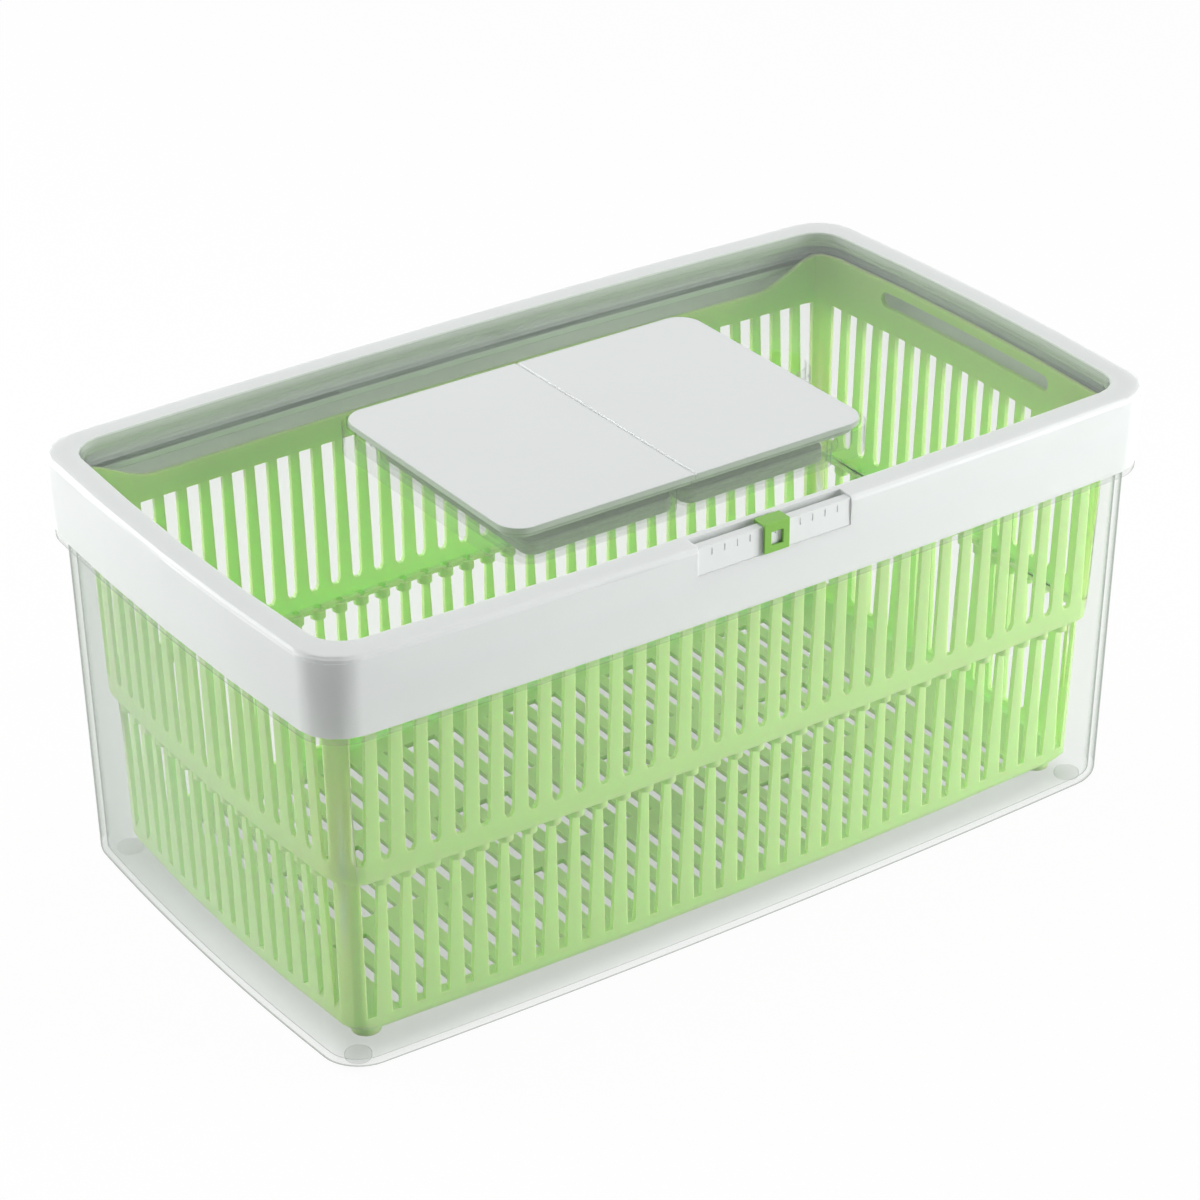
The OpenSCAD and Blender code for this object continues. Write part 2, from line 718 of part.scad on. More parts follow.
module vent_slider() {
    top_z = bar_top_z + slider_gap;
    color([0.52, 0.74, 0.3])
        difference() {
            translate([-slider_w/2, slider_front_y, slider_foot_z])
                cube([slider_w, slider_back_y + slider_t - slider_front_y,
                    top_z + slider_t - slider_foot_z]);
            translate([-slider_w/2 - past, bar_y - slider_gap, slider_foot_z - past])
                cube([slider_w + 2*past, bar_t + 2*slider_gap, top_z - slider_foot_z + past]);
            translate([-slider_window_w/2, slider_front_y - past,
                (slider_foot_z + top_z - slider_window_h)/2])
                cube([slider_window_w, slider_t + past + slider_gap, slider_window_h]);
        }
}

module vent_shutter() {
    color([0.95, 0.95, 0.95])
        difference() {
            translate([-shutter_l/2, slider_back_y + slider_t, slider_foot_z])
                cube([shutter_l, shutter_t, shutter_h]);
            translate([air_pitch/2, 0, 0])
                air_row(slider_back_y, pocket_y, air_z);
        }
}

container();
foot(-1, -1);  // foot_front_left
foot(1, -1);  // foot_front_right
foot(-1, 1);  // foot_back_left
foot(1, 1);  // foot_back_right
basket();
lid_frame();
lid_panel();
lid_gasket();
filter_holder();
filter_sachet(-1);  // filter_sachet_left
filter_sachet(1);  // filter_sachet_right
cover_half(-1);  // filter_cover
cover_half(1);  // filter_door
track_bar();
vent_slider();
vent_shutter();
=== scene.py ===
"""Looks of a produce storage bin: clear box, slotted basket, and a lid with a filter and a vent.

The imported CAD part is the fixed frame. The clear box is drawn anew with smoother bows, and every
other piece starts from a CAD node. Each gets the small rounded edges of moulded plastic, and rides
on the body that its node belongs to.
"""
import json
import math

import bmesh
import bpy
from bpy.props import FloatProperty, FloatVectorProperty, IntProperty, PointerProperty
from bpy.types import Operator, Panel, PropertyGroup
from mathutils import Matrix, Vector


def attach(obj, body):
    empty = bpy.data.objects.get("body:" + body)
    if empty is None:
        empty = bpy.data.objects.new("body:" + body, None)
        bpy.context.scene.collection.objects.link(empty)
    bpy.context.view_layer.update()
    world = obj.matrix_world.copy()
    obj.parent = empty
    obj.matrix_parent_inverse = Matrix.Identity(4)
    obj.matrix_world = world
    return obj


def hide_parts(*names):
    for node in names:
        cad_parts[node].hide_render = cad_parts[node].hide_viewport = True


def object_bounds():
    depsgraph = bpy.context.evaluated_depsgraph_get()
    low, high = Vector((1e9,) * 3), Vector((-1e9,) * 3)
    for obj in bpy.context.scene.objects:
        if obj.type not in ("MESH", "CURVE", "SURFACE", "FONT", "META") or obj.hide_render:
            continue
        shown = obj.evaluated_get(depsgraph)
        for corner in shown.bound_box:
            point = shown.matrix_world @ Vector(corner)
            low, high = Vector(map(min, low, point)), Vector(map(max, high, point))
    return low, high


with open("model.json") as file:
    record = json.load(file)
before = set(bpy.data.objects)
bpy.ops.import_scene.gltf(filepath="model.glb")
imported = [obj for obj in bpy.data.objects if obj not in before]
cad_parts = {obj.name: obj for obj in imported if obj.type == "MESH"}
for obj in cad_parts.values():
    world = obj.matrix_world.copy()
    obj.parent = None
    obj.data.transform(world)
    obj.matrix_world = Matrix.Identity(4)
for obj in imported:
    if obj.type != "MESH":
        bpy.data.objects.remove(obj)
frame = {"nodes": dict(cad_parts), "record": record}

bl_info = {
    "name": "Produce bin",
    "version": (1, 0, 0),
    "blender": (4, 5, 0),
    "location": "View3D > Sidebar > Produce bin",
    "description": "Dresses a packed produce bin in its plastics and sets up its studio",
    "category": "Object",
}

CAD_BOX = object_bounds()

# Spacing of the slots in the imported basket, and of the real ones along its long sides
SLOT_PITCH = 0.00885
SIDE_PITCH = 0.00903
# Distances from the middle beyond which a point of the basket is on a long side or on an end
SIDE_FROM = 0.060
END_FROM = 0.1505
# Heights of the basket's floor and of the step between its tiers
BASKET_FLOOR_TOP = 0.0087
STEP_Z = 0.0685
# Between these distances from the middle the wider spacing fades out, in the upper and lower tier
UPPER_SPREAD = (0.1492, 0.1560)
LOWER_SPREAD = (0.1450, 0.1515)
# Slot ends of the lower feet and the upper tops: the heights that hold them, how far they move up,
# what part of their width stays, and how many pitches the first slot of a long side stands from its
# middle
SLOT_ENDS = (
    (0.0155, 0.0200, -0.0030, 0.86, 0.0),
    (0.1200, 0.1278, 0.0015, 0.90, 0.5))
# Steps round a corner, along a side and over the bottom edge of the clear box
CORNER_STEPS = 10
SIDE_STEPS = 12
EDGE_STEPS = 5
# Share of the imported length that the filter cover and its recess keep, and the distances from the
# middle between which the lid goes back to its packed length
COVER_DRAW = 0.976
COVER_BLEND = (0.090, 0.130)

# Points closer than this are one point, and faces that meet flatter than this are one face
SAME_POINT = 1e-6
FLAT_ANGLE = math.radians(0.05)
# Edges sharper than this are rounded
SHARP_ANGLE = math.radians(35)
# How much more the large faces count for the shading of an edge
LARGE_FACE_WEIGHT = 85

# Width of the clouds in a plastic's colour and of the patches in its gloss
CLOUD_SIZE = 0.03
GLOSS_SIZE = 0.008
CLEAR_CLOUD_SIZE = 0.05
CLEAR_GLOSS_SIZE = 0.02
# Refraction of the opaque and the clear plastics, and the depth that light reaches in the first
PLASTIC_IOR = 1.5
CLEAR_IOR = 1.25
GLOW_DEPTH = 0.006
# Height of the moulded grain
GRAIN_HEIGHT = 0.00002
# Where the clear plastics begin to close and to take on their painted edge shade, and where they are
# closed, from 0 square on to 1 edge on
CLEAR_STEEP = (0.5, 0.9)
# Roughness of each clear plastic, and how much of what lies behind it hides square on and edge on
CLEAR_BOX = (0.03, 0.08, 0.75)
CLEAR_PAD = (0.12, 0.12, 0.8)
CLEAR_WINDOW = (0.03, 0.07, 0.45)
CLEAR_HOLDER = (0.05, 0.09, 0.6)
# Distance between the weld points of the fleece, and their depth
WELD_PITCH = 0.0025
WELD_DEPTH = 0.0003

# Half the width of the floor, and the gap that keeps it clear of the pads
FLOOR_REACH = 4.0
FLOOR_GAP = 0.0001
# Part of the shadow that the floor shows round the box and right below it
SHADOW_ROUND = 0.04
SHADOW_BELOW = 0.4
# Point that the softboxes face
MIDDLE = (0, 0, 0.08)
# Layers of clear plastic that a ray may pass
CLEAR_LAYERS = 32


class BinSizes(PropertyGroup):
    """Edge sizes of the moulded pieces"""

    lid_round: FloatProperty(
        name="Lid edge", description="Rounding of the edges of the white lid",
        default=0.0007, min=0.0, unit="LENGTH")
    clear_round: FloatProperty(
        name="Clear edge", description="Rounding of the edges of the clear pieces",
        default=0.0004, min=0.0, unit="LENGTH")
    window_round: FloatProperty(
        name="Window edge", description="Rounding of the edges of the window and its recess",
        default=0.0007, min=0.0, unit="LENGTH")
    basket_round: FloatProperty(
        name="Basket edge", description="Rounding of the edges of the basket and its slots",
        default=0.0003, min=0.0, unit="LENGTH")
    cover_round: FloatProperty(
        name="Cover edge", description="Rounding of the edges of the filter cover",
        default=0.0005, min=0.0, unit="LENGTH")
    slider_round: FloatProperty(
        name="Slider edge", description="Rounding of the edges of the vent slider",
        default=0.0003, min=0.0, unit="LENGTH")
    round_steps: IntProperty(
        name="Rounding steps", description="Number of faces across a rounded edge",
        default=2, min=1, max=4)
    grain: FloatProperty(
        name="Grain", description="Size of the fine grain of the moulded surfaces",
        default=0.0006, min=0.0001, unit="LENGTH")


class BoxSizes(PropertyGroup):
    """Sizes of the clear box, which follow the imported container"""

    half_length: FloatProperty(
        name="Half length", description="From the middle to the end of the box at its top",
        default=0.166, unit="LENGTH")
    half_width: FloatProperty(
        name="Half width", description="From the middle to the side of the box at its top",
        default=0.092, unit="LENGTH")
    draft: FloatProperty(
        name="Draft", description="How far the walls draw in down to the floor",
        default=0.002, unit="LENGTH")
    wall: FloatProperty(
        name="Wall", description="Thickness of the walls", default=0.0022, unit="LENGTH")
    foot_z: FloatProperty(
        name="Underside", description="Height of the underside", default=0.0008, unit="LENGTH")
    floor_z: FloatProperty(
        name="Floor", description="Height of the inside of the floor", default=0.0032, unit="LENGTH")
    top_z: FloatProperty(
        name="Top", description="Height of the top edge", default=0.141, unit="LENGTH")
    flange_z: FloatProperty(
        name="Flange", description="Height of the top of the flange", default=0.1277, unit="LENGTH")
    flange_height: FloatProperty(
        name="Flange height", description="Height of the flange", default=0.002, unit="LENGTH")
    flange_corner: FloatProperty(
        name="Flange corner", description="Corner radius of the flange", default=0.014, unit="LENGTH")
    flange_reach: FloatProperty(
        name="Flange reach", description="How far the flange stands out from the wall",
        default=0.003, unit="LENGTH")
    corner: FloatProperty(
        name="Corner", description="Corner radius", default=0.013, unit="LENGTH")
    foot_round: FloatProperty(
        name="Bottom edge", description="Radius of the bottom edge", default=0.0036, unit="LENGTH")
    bow_side: FloatProperty(
        name="Side bow", description="How far the long sides bow out", default=0.0038, unit="LENGTH")
    bow_end: FloatProperty(
        name="End bow", description="How far the ends bow out", default=0.0034, unit="LENGTH")


class BinColours(PropertyGroup):
    """Colours of the pieces"""

    lid_white: FloatVectorProperty(
        name="Lid", description="White of the lid, the cover and the vent bar",
        subtype="COLOR", size=3, min=0, max=1, default=(0.80, 0.83, 0.82))
    basket_green: FloatVectorProperty(
        name="Basket", description="Green of the basket",
        subtype="COLOR", size=3, min=0, max=1, default=(0.60, 0.92, 0.35))
    slider_green: FloatVectorProperty(
        name="Slider", description="Green of the vent slider",
        subtype="COLOR", size=3, min=0, max=1, default=(0.22, 0.50, 0.07))
    clear_veil: FloatVectorProperty(
        name="Clear plastic", description="Colour of the faint veil of the clear plastic",
        subtype="COLOR", size=3, min=0, max=1, default=(0.62, 0.68, 0.64))
    # Painted shade: dark colour that the clear plastic takes where it is seen edge on, standing in for
    # the dark edges that refraction gives
    painted_edge_shade: FloatVectorProperty(
        name="Clear edges", description="Colour of the clear plastic where it is seen edge on",
        subtype="COLOR", size=3, min=0, max=1, default=(0.07, 0.11, 0.08))
    gasket_grey: FloatVectorProperty(
        name="Gasket", description="Colour of the silicone gasket",
        subtype="COLOR", size=3, min=0, max=1, default=(0.70, 0.78, 0.72))
    sachet_white: FloatVectorProperty(
        name="Sachet", description="Colour of the filter sachets",
        subtype="COLOR", size=3, min=0, max=1, default=(0.78, 0.80, 0.77))


class Studio(PropertyGroup):
    """Camera and lights"""

    lens: FloatProperty(
        name="Lens", description="Focal length in millimetres", default=110.9, min=10)
    camera_place: FloatVectorProperty(
        name="Camera place", description="Place of the camera",
        subtype="TRANSLATION", unit="LENGTH", size=3, default=(-0.6387, -0.9188, 0.6973))
    camera_azimuth: FloatProperty(
        name="Azimuth", description="Turn of the camera about the vertical",
        subtype="ANGLE", default=math.radians(-34.725))
    camera_elevation: FloatProperty(
        name="Elevation", description="How far the camera looks down",
        subtype="ANGLE", default=math.radians(28.668))
    camera_roll: FloatProperty(
        name="Roll", description="Roll of the camera",
        subtype="ANGLE", default=math.radians(-0.353))
    sky: FloatProperty(
        name="Sky", description="Strength of the light from all sides", default=0.13, min=0)
    top_light: FloatProperty(
        name="Top light", description="Power of the softbox overhead in watts", default=7.5, min=0)
    left_light: FloatProperty(
        name="Left light", description="Power of the softbox behind the left end in watts",
        default=8.5, min=0)
    back_light: FloatProperty(
        name="Back light", description="Power of the softbox behind the part in watts",
        default=11, min=0)
    right_light: FloatProperty(
        name="Right light", description="Power of the softbox in front on the right in watts",
        default=29, min=0)


def settings():
    """The groups of settings, which sit on the scene"""
    scene = bpy.context.scene
    return scene.bin_sizes, scene.bin_colours, scene.bin_studio, scene.bin_box


# Materials

def material_of(name):
    """A new material with only its Principled shader, and its node tree"""
    material = bpy.data.materials.new(name)
    material.use_nodes = True
    tree = material.node_tree
    return material, tree, tree.nodes["Principled BSDF"]


def object_noise(tree, size, detail=2.0):
    """Noise over the piece's own coordinates, with grains about size wide"""
    place = tree.nodes.new("ShaderNodeTexCoord")
    noise = tree.nodes.new("ShaderNodeTexNoise")
    noise.inputs["Scale"].default_value = 1.0/size
    noise.inputs["Detail"].default_value = detail
    tree.links.new(place.outputs["Object"], noise.inputs["Vector"])
    return noise.outputs["Fac"]


def spread(tree, value, low, high):
    """Value moved from the middle half of its range to low and high"""
    spread_node = tree.nodes.new("ShaderNodeMapRange")
    spread_node.inputs["From Min"].default_value = 0.25
    spread_node.inputs["From Max"].default_value = 0.75
    spread_node.inputs["To Min"].default_value = low
    spread_node.inputs["To Max"].default_value = high
    tree.links.new(value, spread_node.inputs["Value"])
    return spread_node.outputs["Result"]


def tinted(tree, value, colour, shade):
    """Colour that varies with value, down to shade times itself"""
    mix = tree.nodes.new("ShaderNodeMix")
    mix.data_type = "RGBA"
    dark = [shade*c for c in colour]
    mix.inputs["A"].default_value = (*dark, 1.0)
    mix.inputs["B"].default_value = (*colour, 1.0)
    tree.links.new(value, mix.inputs["Factor"])
    return mix.outputs["Result"]


def grain_bump(tree, shader, size, height):
    """Fine grain on the shader's normal"""
    bump = tree.nodes.new("ShaderNodeBump")
    bump.inputs["Strength"].default_value = 0.25
    bump.inputs["Distance"].default_value = height
    tree.links.new(object_noise(tree, size), bump.inputs["Height"])
    tree.links.new(bump.outputs["Normal"], shader.inputs["Normal"])


def moulded_plastic(name, colour, roughness, glow=0.0, glow_reach=(1.0, 1.0, 1.0)):
    """Moulded plastic with faint clouding, uneven gloss and a fine grain, and some glow if it lets
    light into itself"""
    sizes, _, _, _ = settings()
    material, tree, shader = material_of(name)
    clouds = object_noise(tree, CLOUD_SIZE)
    tree.links.new(tinted(tree, clouds, colour, 0.97), shader.inputs["Base Color"])
    gloss = spread(tree, object_noise(tree, GLOSS_SIZE), roughness - 0.04, roughness + 0.04)
    tree.links.new(gloss, shader.inputs["Roughness"])
    grain_bump(tree, shader, sizes.grain, GRAIN_HEIGHT)
    shader.inputs["IOR"].default_value = PLASTIC_IOR
    if glow:
        shader.inputs["Subsurface Weight"].default_value = glow
        shader.inputs["Subsurface Radius"].default_value = glow_reach
        shader.inputs["Subsurface Scale"].default_value = GLOW_DEPTH
    return material


def clear_plastic(name, look):
    """Clear moulded plastic: nearly open where it is seen square on, and closed at its edges, where a
    dark colour is painted in as painted shade for the dark edges that refraction gives
    """
    _, colours, _, _ = settings()
    roughness, facing, edge = look
    material, tree, shader = material_of(name)
    clouds = object_noise(tree, CLEAR_CLOUD_SIZE)
    gloss = spread(tree, object_noise(tree, CLEAR_GLOSS_SIZE), roughness, roughness + 0.02)
    tree.links.new(gloss, shader.inputs["Roughness"])
    shader.inputs["IOR"].default_value = CLEAR_IOR
    angle = tree.nodes.new("ShaderNodeLayerWeight")
    angle.inputs["Blend"].default_value = 0.5
    steep = tree.nodes.new("ShaderNodeMapRange")
    steep.interpolation_type = "SMOOTHSTEP"
    steep.inputs["From Min"].default_value = CLEAR_STEEP[0]
    steep.inputs["From Max"].default_value = CLEAR_STEEP[1]
    tree.links.new(angle.outputs["Facing"], steep.inputs["Value"])
    # Painted shade: the veil colour turns to the dark edge colour as the plastic is seen more nearly edge
    # on
    shade = tree.nodes.new("ShaderNodeMix")
    shade.data_type = "RGBA"
    shade.inputs["B"].default_value = (*colours.painted_edge_shade, 1.0)
    tree.links.new(steep.outputs["Result"], shade.inputs["Factor"])
    tree.links.new(tinted(tree, clouds, colours.clear_veil, 0.96), shade.inputs["A"])
    tree.links.new(shade.outputs["Result"], shader.inputs["Base Color"])
    cover = tree.nodes.new("ShaderNodeMapRange")
    cover.inputs["To Min"].default_value = facing
    cover.inputs["To Max"].default_value = edge
    tree.links.new(steep.outputs["Result"], cover.inputs["Value"])
    tree.links.new(cover.outputs["Result"], shader.inputs["Alpha"])
    return material


def soft_silicone(name, colour):
    """Matt silicone rubber"""
    material, tree, shader = material_of(name)
    tree.links.new(tinted(tree, object_noise(tree, 0.01), colour, 0.94), shader.inputs["Base Color"])
    gloss = spread(tree, object_noise(tree, 0.003), 0.5, 0.62)
    tree.links.new(gloss, shader.inputs["Roughness"])
    return material


def pressed_fleece(name, colour):
    """Nonwoven fabric of the filter sachets: pressed fibres and a grid of weld points"""
    material, tree, shader = material_of(name)
    fibres = object_noise(tree, 0.0012, 6.0)
    tree.links.new(tinted(tree, fibres, colour, 0.8), shader.inputs["Base Color"])
    shader.inputs["Roughness"].default_value = 0.9
    place = tree.nodes.new("ShaderNodeTexCoord")
    welds = tree.nodes.new("ShaderNodeTexVoronoi")
    welds.inputs["Scale"].default_value = 1.0/WELD_PITCH
    welds.inputs["Randomness"].default_value = 0.0
    tree.links.new(place.outputs["Object"], welds.inputs["Vector"])
    bump = tree.nodes.new("ShaderNodeBump")
    bump.inputs["Strength"].default_value = 0.6
    bump.inputs["Distance"].default_value = WELD_DEPTH
    tree.links.new(welds.outputs["Distance"], bump.inputs["Height"])
    tree.links.new(bump.outputs["Normal"], shader.inputs["Normal"])
    return material


# Pieces

def tapered_slots(form):
    """Spaces the slots of the basket like the real ones, and draws out their feet and tops"""
    for vert in form.verts:
        x, y, z = vert.co
        side = abs(y) > SIDE_FROM
        pitch = SLOT_PITCH
        if side and z > BASKET_FLOOR_TOP:
            start, stop = UPPER_SPREAD if z > STEP_Z else LOWER_SPREAD
            fade = min(max((stop - abs(x))/(stop - start), 0), 1)
            vert.co.x += math.copysign((SIDE_PITCH/SLOT_PITCH - 1)*min(abs(x), start)*fade, x)
            pitch = SIDE_PITCH
        for low, high, rise, narrow, phase in SLOT_ENDS:
            if not low < z < high or not (side and abs(x) < start or abs(x) > END_FROM):
                continue
            axis = 0 if side and abs(x) < start else 1
            if axis == 1:
                pitch, phase = SLOT_PITCH, 0.5 - phase
            centre = pitch*(round(vert.co[axis]/pitch - phase) + phase)
            vert.co[axis] = centre + narrow*(vert.co[axis] - centre)
            vert.co.z += rise


def drawn_in(form):
    """Draws the filter cover, and the recess that it lies in, to the real length"""
    for vert in form.verts:
        reach = abs(vert.co.x)
        blend = min(max((COVER_BLEND[1] - reach)/(COVER_BLEND[1] - COVER_BLEND[0]), 0), 1)
        vert.co.x *= 1 - blend*(1 - COVER_DRAW)


def box_outline(half_x, half_y, radius):
    """Points round a rectangle with round corners whose sides bow out"""
    _, _, _, box = settings()
    points = []
    for corner in range(4):
        side_x = 1 if corner in (0, 3) else -1
        side_y = 1 if corner < 2 else -1
        middle = Vector((side_x*(half_x - radius), side_y*(half_y - radius)))
        for k in range(CORNER_STEPS + 1):
            angle = math.pi/2*(corner + k/CORNER_STEPS)
            points.append(middle + radius*Vector((math.cos(angle), math.sin(angle))))
        start = points[-1]
        along = Vector((-2*middle.x, 0)) if corner % 2 == 0 else Vector((0, -2*middle.y))
        points += [start + along*k/SIDE_STEPS for k in range(1, SIDE_STEPS)]
    return [
        (x*(1 - box.bow_end/half_x*(y/half_y)**2), y*(1 - box.bow_side/half_y*(x/half_x)**2))
        for x, y in points]


def box_levels():
    """Height, distance in from the top of the wall and corner radius of each ring of the box, from
    the underside up the outside and down the inside"""
    _, _, _, box = settings()
    levels = []
    for k in range(EDGE_STEPS + 1):
        angle = math.pi/2*k/EDGE_STEPS
        levels.append((
            box.foot_z + box.foot_round*(1 - math.cos(angle)),
            box.draft + box.foot_round*(1 - math.sin(angle)), box.corner))
    flange_foot = box.flange_z - box.flange_height
    levels += [
        (flange_foot, 0.0, box.corner),
        (flange_foot, -box.flange_reach, box.flange_corner),
        (box.flange_z, -box.flange_reach, box.flange_corner),
        (box.flange_z, 0.0, box.corner),
        (box.top_z, 0.0, box.corner),
        (box.top_z, box.wall, box.corner - box.wall),
        (box.flange_z, box.wall, box.corner - box.wall)]
    inner_round = box.foot_round - box.wall
    for k in range(EDGE_STEPS, -1, -1):
        angle = math.pi/2*k/EDGE_STEPS
        levels.append((
            box.floor_z + inner_round*(1 - math.cos(angle)),
            box.draft + box.wall + inner_round*(1 - math.sin(angle)), box.corner - box.wall))
    return levels


def box_form():
    """Walls, floor and flange of the clear box"""
    _, _, _, box = settings()
    form = bmesh.new()
    rings = []
    for z, inset, radius in box_levels():
        outline = box_outline(box.half_length - inset, box.half_width - inset, radius)
        rings.append([form.verts.new((x, y, z)) for x, y in outline])
    count = len(rings[0])
    for lower, upper in zip(rings, rings[1:]):
        for k in range(count):
            nxt = (k + 1) % count
            form.faces.new((lower[k], lower[nxt], upper[nxt], upper[k]))
    form.faces.new(reversed(rings[0]))
    form.faces.new(rings[-1])
    bmesh.ops.recalc_face_normals(form, faces=form.faces)
    return form


def node_form(node, reshape=None):
    """Shape of a CAD node with its flat faces joined"""
    form = bmesh.new()
    form.from_mesh(frame["nodes"][node].data)
    bmesh.ops.remove_doubles(form, verts=form.verts, dist=SAME_POINT)
    bmesh.ops.dissolve_limit(
        form, angle_limit=FLAT_ANGLE, use_dissolve_boundaries=False,
        verts=form.verts, edges=form.edges, delimit={"NORMAL"})
    if reshape:
        reshape(form)
    return form


def moulded_piece(node, name, slot, material, rounding, reshape=None, form=None):
    """Piece with rounded edges that stands for a CAD node, in the node's shape unless form gives
    another"""
    sizes, _, _, _ = settings()
    body = next(b for b, members in frame["record"]["behaviour"]["bodies"].items() if node in members)
    form = form or node_form(node, reshape)
    for face in form.faces:
        face.smooth = True
    mesh = bpy.data.meshes.new(name)
    form.to_mesh(mesh)
    form.free()
    mesh.materials.append(material)
    piece = bpy.data.objects.new(name, mesh)
    bpy.context.collection.objects.link(piece)
    if rounding:
        bevel = piece.modifiers.new("Rounded edges", "BEVEL")
        bevel.width = rounding
        bevel.segments = sizes.round_steps
        bevel.limit_method = "ANGLE"
        bevel.angle_limit = SHARP_ANGLE
    level = piece.modifiers.new("Level faces", "WEIGHTED_NORMAL")
    level.weight = LARGE_FACE_WEIGHT
    level.keep_sharp = True
    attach(piece, body)
    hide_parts(node)
    return piece


def need(pieces):
    """Stops the script if an operator made nothing"""
    if not pieces:
        raise RuntimeError("no piece was made")


class BIN_OT_box(Operator):
    """Makes the clear box and the pads that it stands on"""

    bl_idname = "bin.box"
    bl_label = "Clear box"

    def execute(self, context):
        sizes, _, _, _ = settings()
        clear = clear_plastic("clear box plastic", CLEAR_BOX)
        pads = clear_plastic("pad plastic", CLEAR_PAD)
        made = [moulded_piece(
            "container", "box_shell", "bin_clear", clear, sizes.clear_round, form=box_form())]
        for side in ("front", "back"):
            for end in ("left", "right"):
                made.append(moulded_piece(
                    f"foot_{side}_{end}", f"pad_{side}_{end}", "foot_clear", pads, sizes.clear_round))
        need(made)
        return {"FINISHED"}


class BIN_OT_basket(Operator):
    """Makes the slotted basket"""

    bl_idname = "bin.basket"
    bl_label = "Slotted basket"

    def execute(self, context):
        sizes, colours, _, _ = settings()
        green = moulded_plastic("basket plastic", colours.basket_green, 0.38, 0.8, (0.5, 1.0, 0.3))
        need([moulded_piece(
            "basket", "slotted_basket", "basket_green", green, sizes.basket_round, tapered_slots)])
        return {"FINISHED"}


class BIN_OT_lid(Operator):
    """Makes the white rim of the lid, its window and its gasket"""

    bl_idname = "bin.lid"
    bl_label = "Lid"

    def execute(self, context):
        sizes, colours, _, _ = settings()
        white = moulded_plastic("lid plastic", colours.lid_white, 0.36, 0.5)
        clear = clear_plastic("window plastic", CLEAR_WINDOW)
        seal = soft_silicone("gasket silicone", colours.gasket_grey)
        need([
            moulded_piece("lid_frame", "lid_rim", "lid_white", white, sizes.lid_round),
            moulded_piece("lid_panel", "lid_window", "window_clear", clear, sizes.window_round, drawn_in),
            moulded_piece("lid_gasket", "lid_seal", "gasket_rubber", seal, sizes.clear_round)])
        return {"FINISHED"}


class BIN_OT_filter(Operator):
    """Makes the filter holder, its sachets, and the cover with its door"""

    bl_idname = "bin.filter"
    bl_label = "Filter"

    def execute(self, context):
        sizes, colours, _, _ = settings()
        clear = clear_plastic("holder plastic", CLEAR_HOLDER)
        fleece = pressed_fleece("sachet fleece", colours.sachet_white)
        white = moulded_plastic("cover plastic", colours.lid_white, 0.32)
        shapes = (
            ("filter_holder", "filter_cup", "holder_clear", clear, sizes.clear_round),
            ("filter_sachet_left", "sachet_left", "sachet_fabric", fleece, sizes.cover_round),
            ("filter_sachet_right", "sachet_right", "sachet_fabric", fleece, sizes.cover_round),
            ("filter_cover", "cover_plate", "cover_white", white, sizes.cover_round),
            ("filter_door", "cover_door", "cover_white", white, sizes.cover_round))
        need([moulded_piece(*shape, drawn_in) for shape in shapes])
        return {"FINISHED"}


class BIN_OT_vent(Operator):
    """Makes the vent bar, its slider and its shutter"""

    bl_idname = "bin.vent"
    bl_label = "Vent"

    def execute(self, context):
        sizes, colours, _, _ = settings()
        white = moulded_plastic("bar plastic", colours.lid_white, 0.36)
        green = moulded_plastic("slider plastic", colours.slider_green, 0.34)
        need([
            moulded_piece("track_bar", "vent_bar", "bar_white", white, sizes.slider_round),
            moulded_piece("vent_slider", "vent_clip", "slider_green", green, sizes.slider_round),
            moulded_piece("vent_shutter", "vent_plate", "shutter_white", white, sizes.slider_round)])
        return {"FINISHED"}


# Studio

def seen_rays(tree):
    """1 for camera, glossy and transmission rays, 0 for the rest"""
    path = tree.nodes.new("ShaderNodeLightPath")
    total = path.outputs["Is Camera Ray"]
    for kind in ("Is Glossy Ray", "Is Transmission Ray"):
        more = tree.nodes.new("ShaderNodeMath")
        more.operation = "MAXIMUM"
        tree.links.new(total, more.inputs[0])
        tree.links.new(path.outputs[kind], more.inputs[1])
        total = more.outputs[0]
    return total


def white_world(sky):
    """World that looks white and lights the object with strength sky"""
    world = bpy.data.worlds.new("Studio white")
    bpy.context.scene.world = world
    world.use_nodes = True
    tree = world.node_tree
    lit = tree.nodes["Background"]
    lit.inputs["Color"].default_value = (1, 1, 1, 1)
    lit.inputs["Strength"].default_value = sky
    seen = tree.nodes.new("ShaderNodeBackground")
    seen.inputs["Color"].default_value = (1, 1, 1, 1)
    seen.inputs["Strength"].default_value = 1.0
    mix = tree.nodes.new("ShaderNodeMixShader")
    tree.links.new(seen_rays(tree), mix.inputs["Fac"])
    tree.links.new(lit.outputs["Background"], mix.inputs[1])
    tree.links.new(seen.outputs["Background"], mix.inputs[2])
    tree.links.new(mix.outputs["Shader"], tree.nodes["World Output"].inputs["Surface"])


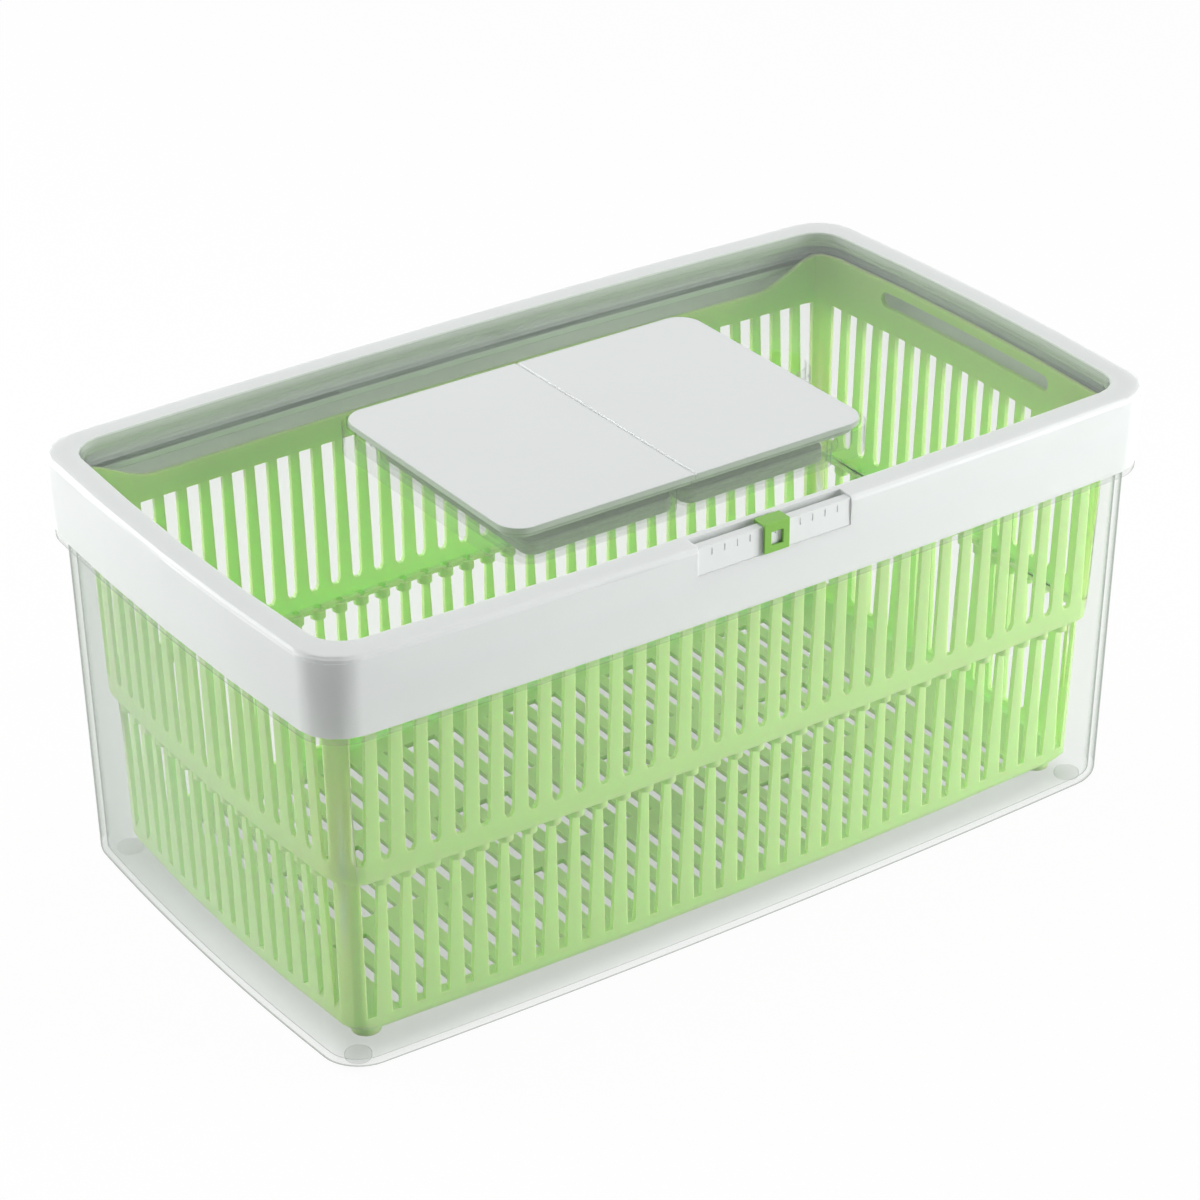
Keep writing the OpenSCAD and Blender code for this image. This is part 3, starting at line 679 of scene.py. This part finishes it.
def below_box(tree, outside, inside):
    """Value outside the outline of the box and value inside it, with a soft change between them"""
    _, _, _, box = settings()
    place = tree.nodes.new("ShaderNodeTexCoord")
    parts = tree.nodes.new("ShaderNodeSeparateXYZ")
    tree.links.new(place.outputs["Object"], parts.inputs["Vector"])
    within = []
    for axis, half in (("X", box.half_length), ("Y", box.half_width)):
        reach = tree.nodes.new("ShaderNodeMath")
        reach.operation = "ABSOLUTE"
        tree.links.new(parts.outputs[axis], reach.inputs[0])
        soft = tree.nodes.new("ShaderNodeMapRange")
        soft.interpolation_type = "SMOOTHSTEP"
        soft.inputs["From Min"].default_value = half - 3*box.corner/2
        soft.inputs["From Max"].default_value = half - box.corner/2
        soft.inputs["To Min"].default_value = 1.0
        soft.inputs["To Max"].default_value = 0.0
        tree.links.new(reach.outputs[0], soft.inputs["Value"])
        within.append(soft.outputs["Result"])
    both = tree.nodes.new("ShaderNodeMath")
    both.operation = "MULTIPLY"
    tree.links.new(within[0], both.inputs[0])
    tree.links.new(within[1], both.inputs[1])
    level = tree.nodes.new("ShaderNodeMapRange")
    level.inputs["To Min"].default_value = outside
    level.inputs["To Max"].default_value = inside
    tree.links.new(both.outputs[0], level.inputs["Value"])
    return level.outputs["Result"]


def white_floor():
    """Floor that looks white, with some of the shadow round the box and more right below it"""
    form = bmesh.new()
    bmesh.ops.create_grid(form, x_segments=1, y_segments=1, size=FLOOR_REACH)
    mesh = bpy.data.meshes.new("floor")
    form.to_mesh(mesh)
    form.free()
    floor = bpy.data.objects.new("floor", mesh)
    floor.location.z = CAD_BOX[0][2] - FLOOR_GAP
    bpy.context.collection.objects.link(floor)
    material = bpy.data.materials.new("floor white")
    material.use_nodes = True
    tree = material.node_tree
    shader = tree.nodes["Principled BSDF"]
    shader.inputs["Base Color"].default_value = (0.9, 0.9, 0.9, 1)
    shader.inputs["Roughness"].default_value = 0.9
    shader.inputs["Specular IOR Level"].default_value = 0.0
    glow = tree.nodes.new("ShaderNodeEmission")
    glow.inputs["Strength"].default_value = 1.0
    part = tree.nodes.new("ShaderNodeMath")
    part.operation = "MULTIPLY"
    tree.links.new(below_box(tree, 1 - SHADOW_ROUND, 1 - SHADOW_BELOW), part.inputs[1])
    mix = tree.nodes.new("ShaderNodeMixShader")
    tree.links.new(seen_rays(tree), part.inputs[0])
    tree.links.new(part.outputs[0], mix.inputs["Fac"])
    tree.links.new(shader.outputs["BSDF"], mix.inputs[1])
    tree.links.new(glow.outputs["Emission"], mix.inputs[2])
    tree.links.new(mix.outputs["Shader"], tree.nodes["Material Output"].inputs["Surface"])
    mesh.materials.append(material)


def softbox(name, place, target, width, height, power):
    """Rectangular lamp at place that faces target"""
    lamp = bpy.data.lights.new(name, "AREA")
    lamp.shape = "RECTANGLE"
    lamp.size = width
    lamp.size_y = height
    lamp.energy = power
    holder = bpy.data.objects.new(name, lamp)
    holder.location = place
    holder.rotation_euler = (Vector(target) - Vector(place)).to_track_quat("-Z", "Y").to_euler()
    bpy.context.collection.objects.link(holder)


class BIN_OT_stage(Operator):
    """Makes the floor, the white surroundings, the lamps and the camera"""

    bl_idname = "bin.stage"
    bl_label = "Stage"

    def execute(self, context):
        _, _, studio, _ = settings()
        scene = context.scene
        scene.view_settings.view_transform = "Standard"
        scene.cycles.transparent_max_bounces = CLEAR_LAYERS
        white_world(studio.sky)
        white_floor()
        softbox("top softbox", (0, 0.1, 1.3), MIDDLE, 1.4, 1.0, studio.top_light)
        softbox("left softbox", (-1.0, 0.8, 0.45), MIDDLE, 0.9, 0.9, studio.left_light)
        softbox("right softbox", (1.35, -0.95, 0.45), MIDDLE, 0.9, 0.9, studio.right_light)
        softbox("back softbox", (-0.6, 1.3, 0.3), MIDDLE, 0.8, 0.6, studio.back_light)
        camera = bpy.data.cameras.new("camera")
        camera.lens = studio.lens
        camera.sensor_width = 36
        holder = bpy.data.objects.new("camera", camera)
        turn = Matrix.Rotation(studio.camera_azimuth, 4, "Z")
        tilt = Matrix.Rotation(math.pi/2 - studio.camera_elevation, 4, "X")
        roll = Matrix.Rotation(studio.camera_roll, 4, "Z")
        holder.matrix_world = Matrix.Translation(studio.camera_place) @ turn @ tilt @ roll
        context.collection.objects.link(holder)
        scene.camera = holder
        return {"FINISHED"}


class BIN_PT_panel(Panel):
    """Sidebar panel with the settings and the operators"""

    bl_label = "Produce bin"
    bl_idname = "BIN_PT_panel"
    bl_space_type = "VIEW_3D"
    bl_region_type = "UI"
    bl_category = "Produce bin"

    def draw(self, context):
        for group in settings():
            box = self.layout.box()
            for name in group.bl_rna.properties.keys():
                if name not in ("rna_type", "name"):
                    box.prop(group, name)
        for operator in OPERATORS:
            self.layout.operator(operator.bl_idname)


OPERATORS = (BIN_OT_box, BIN_OT_basket, BIN_OT_lid, BIN_OT_filter, BIN_OT_vent, BIN_OT_stage)
CLASSES = (BinSizes, BoxSizes, BinColours, Studio, *OPERATORS, BIN_PT_panel)


def register():
    for kind in CLASSES:
        bpy.utils.register_class(kind)
    bpy.types.Scene.bin_sizes = PointerProperty(type=BinSizes)
    bpy.types.Scene.bin_colours = PointerProperty(type=BinColours)
    bpy.types.Scene.bin_studio = PointerProperty(type=Studio)
    bpy.types.Scene.bin_box = PointerProperty(type=BoxSizes)


def unregister():
    for name in ("bin_sizes", "bin_colours", "bin_studio", "bin_box"):
        delattr(bpy.types.Scene, name)
    for kind in reversed(CLASSES):
        bpy.utils.unregister_class(kind)


def main():
    register()
    bpy.ops.bin.box()
    bpy.ops.bin.basket()
    bpy.ops.bin.lid()
    bpy.ops.bin.filter()
    bpy.ops.bin.vent()
    bpy.ops.bin.stage()


if __name__ == "__main__":
    main()
